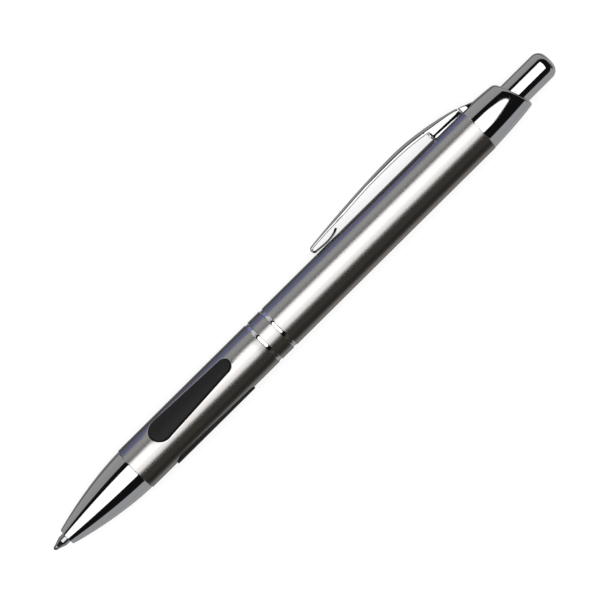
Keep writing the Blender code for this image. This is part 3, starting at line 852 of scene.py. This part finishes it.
def arm_section(half, round_r, depth, edge, bevel, flank=0.0):
    """Half of the folded strip's section: (across, out from its outer face), from the crown inwards.

    edge rounds the lower edge; bevel leans the side wall by moving its top in, or its foot if negative.
    """
    sheet = CLIP_SHEET
    rim = half - max(bevel, 0.0)
    low_rim = half - max(-bevel, 0.0)
    inner = min(INNER_ROUND, (depth - sheet) * 0.5)
    share = min(flank / FULL_LEAN, 1.0)
    lean = DRAFT_LEAN * share
    points = rounded_rim(rim, round_r, lean, flank)
    low = CLIP_FALL[1] + round_r * (1 - math.sin(math.radians(lean))) + flank
    points.append(((rim + low_rim) / 2, -mix(low, depth - edge, 0.5 * (1 - share))))
    for i in range(4):
        angle = math.radians(30 * i)
        points.append((low_rim - edge + edge * math.cos(angle), -depth + edge - edge * math.sin(angle)))
    wall = half - sheet
    points += [(wall + edge, -depth), (wall + ROUND_MIDDLE * edge, -depth + ROUND_MIDDLE * edge),
               (wall, -depth + edge), (wall, -sheet - inner),
               (wall - ROUND_MIDDLE * inner, -sheet - ROUND_MIDDLE * inner), (wall - inner, -sheet),
               (0.0, -sheet)]
    return points


def saddle(across, radius=SADDLE_R):
    """Height of a cylinder round the pen's axis, at a distance across."""
    return math.sqrt(radius ** 2 - across ** 2)


def foot_section(station, half, round_r, top):
    """The same points where the clip's foot reaches down to the barrel."""
    inset_by = inset_of_round(FOOT_ROUND, station - FOOT_TOP)
    lift = mix(*FOOT_LIFT, (station - FOOT_BASE) / FOOT_LIFT_RUN)
    flank_end = min(FLANK_END + lift, top - round_r - FLANK_LEAST)
    points = rounded_rim(half, round_r)
    points += [(half - inset_by * 0.5, mix(-round_r, flank_end - top, 0.5)),
               (half - inset_by, flank_end - top)]
    for out, height, share in COVE:
        across = half - inset_by + out
        points.append((across, max(height + lift * share, saddle(across, SADDLE_R + LIP_THICKNESS)) - top))
    lip = half - inset_by + LIP_OUT
    for across in [lip, lip - LIP_WIDTH] + [half * share for share in SADDLE_SHARES]:
        points.append((across, saddle(across) - top))
    return points


def clip_path():
    """(point, outward direction, direction along) on the clip's outer face, from root to folded end."""
    drop_steps, rise_steps, bend_steps, fold_steps = CLIP_STEPS
    drop = bezier(CLIP_DROP, drop_steps)[::-1]
    rise = bezier(CLIP_RISE, rise_steps)[::-1]
    end, handle = CLIP_RISE[:2]
    start = 90 + math.degrees(math.atan2(handle[1] - end[1], handle[0] - end[0]))
    centre = (rise[-1][0] - CLIP_BEND_R * math.cos(math.radians(start)),
              rise[-1][1] - CLIP_BEND_R * math.sin(math.radians(start)))
    bend = arc(centre, CLIP_BEND_R, start, CLIP_BEND_END, bend_steps)
    fold = bezier([bend[-1]] + CLIP_FOLD, fold_steps)
    points = drop + rise[1:] + bend[1:] + fold[1:]
    found = []
    for i, point in enumerate(points):
        before = Vector(points[max(i - 1, 0)])
        after = Vector(points[min(i + 1, len(points) - 1)])
        along = (after - before).normalized()
        outward = Vector((along[1], -along[0]))
        upright = smoothstep(*CLIP_UPRIGHT, point[0]) if outward[1] > 0 else 0.0
        outward = outward.lerp(Vector((0.0, 1.0)), upright).normalized()
        found.append((Vector(point), outward, along))
    return found


def clip_section(station, top, rise):
    """Half of the clip's section at a station; rise is how far its outer face points up, -1 to 1."""
    half = mix(CLIP_TIP_HALF, CLIP_ROOT_HALF, (station - CLIP_TIP) / CLIP_REACH)
    on_top = rise > 0 and station > CLIP_TOP_START
    flange = smoothstep(*FLANGE_RUN, station) if on_top else 0.0
    swell = smoothstep(*SWELL_RUN, station)
    upper = (rise + 1) / 2
    start_r = mix(EDGE_R_BEND, EDGE_R_START, smoothstep(*TURNED_UP, upper))
    round_r = mix(start_r, EDGE_R_FLANGE, flange) + EDGE_R_SWELL * swell
    round_r -= EDGE_R_LOSS * smoothstep(*LOSS_RUN, station)
    depth = mix(mix(SLIM_SHEET, ARM_START_DEPTH, upper), FLANGE_DEPTH, flange) + DEPTH_SWELL * swell
    flank = DRAFT * smoothstep(*DRAFT_RUN, station) * (1 - smoothstep(*DRAFT_STOP, station))
    bevel = mix(BEVEL_FOLD, BEVEL_ARM, upper) * clamp(BEVEL_TURN * rise, -1.0) * (1 - flange)
    section = arm_section(half, round_r, depth, mix(RIM_BEND, RIM_FLANGE, flange), bevel, flank)
    if station > FOOT_TOP:
        share = smoothstep(FOOT_TOP, FOOT_BASE, station)
        foot = foot_section(station, half, round_r, top)
        section = [(mix(a, c, share), mix(b, d, share)) for (a, b), (c, d) in zip(section, foot)]
    return section


def clip_ring(point, outward, section):
    """A half section and its mirror image, placed on the clip's line."""
    ring = []
    mirrored = [(-across, out) for across, out in reversed(section[1:-1])]
    for across, out in section + mirrored:
        place = point + outward * out
        ring.append((place[0], place[1], across))
    return ring


def soften_end(ring, amount):
    """The clip's root ring drawn in all round by the amount, but never into the barrel."""
    found = []
    for station, height, across in ring:
        across *= 1 - amount / CLIP_ROOT_HALF
        if height > LOWER_PART:
            height -= amount
        found.append((station, max(height, saddle(across)), across))
    return found


def build_clip():
    path = clip_path()
    rings = [clip_ring(point, outward, clip_section(*point, outward[1])) for point, outward, _ in path]
    rings[0] = soften_end(rings[0], SEAM_ROUND)
    rings[1] = soften_end(rings[1], 0.3 * SEAM_ROUND)
    point, outward, along = path[-1]
    section = arm_section(CLIP_TIP_HALF, EDGE_R_BEND, SLIM_SHEET, RIM_BEND, BEVEL_END * outward[1])
    middle = CLIP_SHEET / 2
    for ahead, shrink in END_ROWS:
        narrower = mix(1.0, shrink, END_WIDTH_SHARE)
        small = [(across * narrower, -middle + (out + middle) * shrink) for across, out in section]
        rings.append(clip_ring(point + along * ahead, outward, small))
    clip = skin("stamped_clip", rings, caps=True)
    finish(clip, CHROME, "pocket_clip", "pocket_clip")


# -------- refill and spring

def build_refill():
    for name, outline, material, node in (("writing_point", POINT_OUTLINE, STEEL, "refill_point"),
                                          ("refill_nose", NECK_OUTLINE, BRASS, "refill_neck"),
                                          ("refill_plug", TAIL_OUTLINE, PLASTIC, "refill_tail")):
        finish(turned(name, rounded(outline), AROUND_SMALL), material, "refill", node)
    outline = [(TUBE_BORE_R, TUBE_END), (TUBE_R, TUBE_END, 0.08)]
    for s in TUBE_BEADS:
        outline += [(TUBE_R, s + TUBE_BEAD_HALF, 0.1), (TUBE_R - TUBE_BEAD_DEPTH, s, 0.2),
                    (TUBE_R, s - TUBE_BEAD_HALF, 0.1)]
    tube = turned("refill_body", rounded(outline + TUBE_FRONT), AROUND_TUBE)
    finish(tube, STEEL, "refill", "refill_tube")
    build_ball()


def build_ball():
    outline = [(0.0, 0.0)]
    for i in range(1, BALL_ROWS):
        angle = math.pi * i / BALL_ROWS
        outline.append((BALL_R * math.sin(angle), BALL_R - BALL_R * math.cos(angle)))
    outline.append((0.0, 2 * BALL_R))
    ball = turned("rolling_ball", outline, AROUND_BALL)
    finish(ball, STEEL, "writing_ball", "writing_ball")


def build_spring():
    closed = 2 * WIRE_R + WIRE_GAP
    opened = (SPRING_END - SPRING_START - 2 * closed) / (SPRING_TURNS - 2)
    rings = []
    for i in range(SPRING_TURNS * SPRING_STEPS + 1):
        turn = i / SPRING_STEPS
        height = min(turn, 1.0) * closed
        height += clamp(turn - 1.0, 0.0, SPRING_TURNS - 2) * opened
        height += max(turn - SPRING_TURNS + 1, 0.0) * closed
        ring = []
        for j in range(AROUND_WIRE):
            around = math.tau * j / AROUND_WIRE
            ring.append(round_axis(SPRING_R + WIRE_R * math.cos(around),
                                   SPRING_START + height + WIRE_R * math.sin(around), math.tau * turn))
        rings.append(ring)
    spring = skin("coil_spring", rings, caps=True)
    finish(spring, STEEL, None, "return_spring", weighted=False)
    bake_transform(spring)


# -------- thread and click mechanism

def thread_height(station, angle, span):
    """0 to 1: the height of a right-handed thread that fades in and out at its ends."""
    low, high = span
    phase = (station / THREAD_LEAD - angle / math.tau) % 1.0
    wave = clamp((abs(2 * phase - 1) - THREAD_FLAT) / (1 - 2 * THREAD_FLAT))
    fade_low, fade_high = THREAD_FADE
    return wave * smoothstep(low, low + fade_low, station) * smoothstep(high, high - fade_high, station)


def build_thread():
    def male(radius, station, angle):
        if radius < MALE_CORE_R:
            return radius
        return radius - MALE_DEPTH * thread_height(station, angle, MALE_SPAN)

    end = MALE_SPAN[1]
    outline = MALE_FRONT + [(MALE_R, end - THREAD_ROW * i) for i in range(MALE_ROWS)] + MALE_SHANK
    coupling = turned("male_thread", rounded(outline), AROUND_TUBE, male)
    finish(coupling, BRASS, "lower_half", "threaded_coupling")

    def female(radius, station, angle):
        if radius > FEMALE_OUTER_R:
            return radius
        return radius + FEMALE_DEPTH * thread_height(station, angle, FEMALE_SPAN)

    start, end = FEMALE_ENDS
    outline = [(INSERT_R, start), (INSERT_R, end, 0.1), (FEMALE_R, end)]
    outline += [(FEMALE_R, end - 0.1 - THREAD_ROW * i) for i in range(FEMALE_ROWS)]
    outline += [(FEMALE_R, start)]
    bush = turned("female_thread", rounded(outline), AROUND_TUBE, female)
    finish(bush, BRASS, "root", "thread_bush")


def build_click():
    sleeve = turned("ribbed_guide", rounded(SLEEVE_OUTLINE), AROUND_TUBE)
    ribs = turned("ribs", RIBS_OUTLINE, AROUND_TUBE)
    for turn in (0.0, 90.0):
        combine(ribs, block(*RIB_SLOT, turn), "DIFFERENCE")
    combine(sleeve, ribs, "UNION")
    finish(sleeve, PLASTIC, "root", "guide_sleeve")

    rotor = turned("index_cam", rounded(ROTOR_OUTLINE), AROUND_SMALL)
    for turn in (0.0, 90.0):
        combine(rotor, block(*ROTOR_FINS, turn, ROTOR_FIN_EDGE), "UNION")
    finish(rotor, PLASTIC, "cam_rotor", "cam_rotor")

    plunger = turned("crown_tube", rounded(PLUNGER_OUTLINE), AROUND_SMALL)
    for i in range(LUGS):
        combine(plunger, block(*PLUNGER_LUG, i * 360.0 / LUGS, PLUNGER_LUG_EDGE), "UNION")
    for i in range(NOTCHES):
        combine(plunger, block(*PLUNGER_NOTCH, (i + 0.5) * 360.0 / NOTCHES), "DIFFERENCE")
    finish(plunger, PLASTIC, "button", "plunger")


# -------- stage, light and camera

# The studio, as bands by the angle from straight up, positive towards the clip's side: (degrees, grey).
BANDS = [(-180, 0.33), (-130, 0.33), (-108, 0.05), (-71, 0.05), (-67, 0.006), (62, 0.006),
         (65, 0.29), (126, 0.33), (131, 0.13), (146, 0.12), (152, 0.30), (180, 0.33)]
# The softbox overhead. It reaches towards the button by (degrees, cosine to the axis).
SOFTBOX_LEVEL = 1.3
SOFTBOX_REACH = [(-33, 0.165), (-21, 0.206), (-12, 0.25), (2.5, 0.31), (15, 0.30), (30, 0.26), (39, 0.2)]
SOFTBOX_FRONT_EDGE = (-0.005, 0.012)
SOFTBOX_BACK = -0.61
SOFTBOX_SIDES = (-25.0, 39.5)  # degrees
SOFTBOX_EDGE = 0.01
# A faint glow, low down beyond both ends of the pen.
GLOW_LEVEL = 0.2
GLOW_HEIGHT = (0.15, 0.05)
GLOW_ALONG = (0.93, 0.97)
WHITE = (1.0, 1.0, 1.0, 1.0)

SATIN_PIECES = ("lower_tube", "upper_tube", "middle_band")
BRIGHT_PIECES = ("chrome_nose", "chrome_cap", "thrust_button", "stamped_clip", "writing_point",
                 "refill_nose", "rolling_ball")
# Panels that light one group of pieces only, each as (middle angle, half width, radiance).
PANELS = [
    (SATIN_PIECES, [(19.75, 19.75, (2.9, 2.9, 2.9)), (-12.5, 12.5, (1.87, 1.86, 1.84)),
                    (71.5, 19.0, (0.70, 0.70, 0.69)), (105.0, 13.0, (0.01, 0.04, 0.42)),
                    (-62.0, 12.0, (0.10, 0.08, 0.06)), (-125.0, 16.0, (0.27, 0.24, 0.22))]),
    (BRIGHT_PIECES, [(-89.5, 18.5, (0.27, 0.28, 0.29)), (-113.5, 5.5, (0.2, 0.2, 0.2)),
                     (-124.5, 5.5, (0.07, 0.07, 0.07))]),
    (("studio_floor",), [(0.0, 45.0, (1.3, 1.3, 1.3))])]
PANEL_DISTANCE = 1.2  # metres
PANEL_LENGTH = 2.6  # metres

FLOOR_HALF = 3.0  # metres
FLOOR_DROP = 0.05  # under the pen
FLOOR_GLOW = 0.72
FLOOR_PAPER = (0.35, 0.35, 0.35, 1.0)
FLOOR_UNSEEN = (0.30, 0.30, 0.30, 1.0)  # what other pieces receive from it

CAMERA_DISTANCE = 0.65  # metres
CAMERA_LENS = 194.0
CAMERA_SENSOR = 36.0
CAMERA_CLIP = (0.01, 20.0)  # metres
CAMERA_LEAN = 2.5  # degrees, towards the clip's outer face
CAMERA_SPIN = 44.72  # degrees, of the pen in the picture
CAMERA_SHIFT = (0.455, 0.886)  # of its aim, along the pen and towards the clip


def banded(tree, place, bands):
    """A value that follows (degrees, level) pairs, given the place of an angle on a scale of 0 to 1."""
    ramp = add(tree, "ShaderNodeValToRGB", None, Fac=place)
    stops = ramp.color_ramp.elements
    while len(stops) > 1:
        stops.remove(stops[-1])
    for i, (degrees, level) in enumerate(bands):
        stop = stops[0] if i == 0 else stops.new(degrees / 360 + 0.5)
        stop.position = degrees / 360 + 0.5
        stop.color = (level, level, level, 1.0)
    return ramp.outputs["Color"]


def build_world():
    """The studio that the pen reflects; the camera itself sees plain white."""
    world = bpy.data.worlds.new("studio")
    bpy.context.scene.world = world
    world.use_nodes = True
    tree = world.node_tree
    tree.nodes.clear()
    direction = add(tree, "ShaderNodeTexCoord").outputs["Generated"]
    parts = add(tree, "ShaderNodeSeparateXYZ", None, Vector=direction)
    along, height = parts.outputs["X"], parts.outputs["Z"]
    angle = maths(tree, "ARCTAN2", parts.outputs["Y"], height)
    place = total(tree, maths(tree, "DIVIDE", angle, math.tau), 0.5)
    glow = product(tree, remap(tree, height, *GLOW_HEIGHT, 0.0, 1.0),
                   remap(tree, maths(tree, "ABSOLUTE", along), *GLOW_ALONG, 0.0, GLOW_LEVEL))
    room = maths(tree, "MAXIMUM", banded(tree, place, BANDS), glow)
    beyond = maths(tree, "SUBTRACT", banded(tree, place, SOFTBOX_REACH), along)
    inside = remap(tree, beyond, *SOFTBOX_FRONT_EDGE, 0.0, 1.0)
    first, last = [math.radians(a) for a in SOFTBOX_SIDES]
    for value, dark, lit in ((along, SOFTBOX_BACK - SOFTBOX_EDGE, SOFTBOX_BACK),
                             (angle, first - SOFTBOX_EDGE, first), (angle, last + SOFTBOX_EDGE, last)):
        inside = product(tree, inside, remap(tree, value, dark, lit, 0.0, 1.0))
    level = total(tree, room, product(tree, inside, SOFTBOX_LEVEL))
    studio = add(tree, "ShaderNodeBackground", None, Color=WHITE, Strength=level)
    seen = add(tree, "ShaderNodeBackground", None, Color=WHITE, Strength=1.0)
    final = by_camera_ray(tree, studio, seen)
    add(tree, "ShaderNodeOutputWorld", None, Surface=final)


def by_camera_ray(tree, others, camera):
    """One shader for the camera's own rays and another for all other rays."""
    camera_ray = add(tree, "ShaderNodeLightPath").outputs["Is Camera Ray"]
    final = add(tree, "ShaderNodeMixShader", None, i0=camera_ray, i1=others.outputs[0],
                i2=camera.outputs[0])
    return final.outputs[0]


def build_panels():
    """Large soft panels beside the pen, each lighting one group of pieces."""
    middle = TIP_X + PEN_MIDDLE * MM
    panels = [(names, *panel) for names, group in PANELS for panel in group]
    for i, (names, angle, half, radiance) in enumerate(panels):
        receivers = bpy.data.collections.new(f"lit_by_panel_{i}")
        for name in names:
            receivers.objects.link(bpy.data.objects[name])
        width = 2 * PANEL_DISTANCE * math.tan(math.radians(half))
        data = bpy.data.lights.new(f"panel_{i}", "AREA")
        data.shape = "RECTANGLE"
        data.size = PANEL_LENGTH
        data.size_y = width
        data.color = radiance
        data.energy = math.pi * width * PANEL_LENGTH
        panel = new_object(f"panel_{i}", data)
        turn = math.radians(angle)
        panel.location = (middle, PANEL_DISTANCE * math.sin(turn), PANEL_DISTANCE * math.cos(turn))
        panel.rotation_euler = (-turn, 0.0, 0.0)
        panel.light_linking.receiver_collection = receivers


def build_floor():
    """A white floor that takes a soft shadow and stays out of the chrome's reflections."""
    half = FLOOR_HALF
    height = cad_box[0][2] - FLOOR_DROP * MM
    mesh = bpy.data.meshes.new("floor")
    mesh.from_pydata([(-half, -half, height), (half, -half, height), (half, half, height),
                      (-half, half, height)], [], [(0, 1, 2, 3)])
    floor = new_object("studio_floor", mesh)
    material = bpy.data.materials.new("pale_floor")
    material.use_nodes = True
    tree = material.node_tree
    tree.nodes.clear()
    glow = add(tree, "ShaderNodeEmission", None, Color=WHITE, Strength=FLOOR_GLOW)
    paper = add(tree, "ShaderNodeBsdfDiffuse", None, Color=FLOOR_PAPER)
    seen = add(tree, "ShaderNodeAddShader", None, i0=glow.outputs[0], i1=paper.outputs[0])
    unseen = add(tree, "ShaderNodeEmission", None, Color=FLOOR_UNSEEN, Strength=1.0)
    add(tree, "ShaderNodeOutputMaterial", None, Surface=by_camera_ray(tree, unseen, seen))
    floor.data.materials.append(material)
    floor.visible_glossy = False
    floor.visible_shadow = False


def build_camera():
    lean = math.radians(CAMERA_LEAN)
    spin = math.radians(CAMERA_SPIN)
    back = Vector((0.0, math.sin(lean), math.cos(lean)))
    side = Vector((0.0, math.cos(lean), -math.sin(lean)))
    axis = Vector((1.0, 0.0, 0.0))
    right = axis * math.cos(spin) - side * math.sin(spin)
    up = axis * math.sin(spin) + side * math.cos(spin)
    aim = Vector((TIP_X + PEN_MIDDLE * MM, 0.0, 0.0))
    aim += axis * CAMERA_SHIFT[0] * MM + side * CAMERA_SHIFT[1] * MM
    data = bpy.data.cameras.new("camera")
    data.lens = CAMERA_LENS
    data.sensor_width = CAMERA_SENSOR
    data.clip_start, data.clip_end = CAMERA_CLIP
    camera = new_object("camera", data)
    turn = Matrix((right, up, back)).transposed().to_4x4()
    camera.matrix_world = Matrix.Translation(aim + back * CAMERA_DISTANCE) @ turn
    bpy.context.scene.camera = camera


def build_stage():
    build_world()
    build_floor()
    build_panels()
    build_camera()
    scene = bpy.context.scene
    scene.view_settings.view_transform = "Standard"
    scene.cycles.use_denoising = True


build_barrel()
build_grip()
build_nose()
build_cap()
build_button()
build_clip()
build_refill()
build_spring()
build_thread()
build_click()
build_stage()
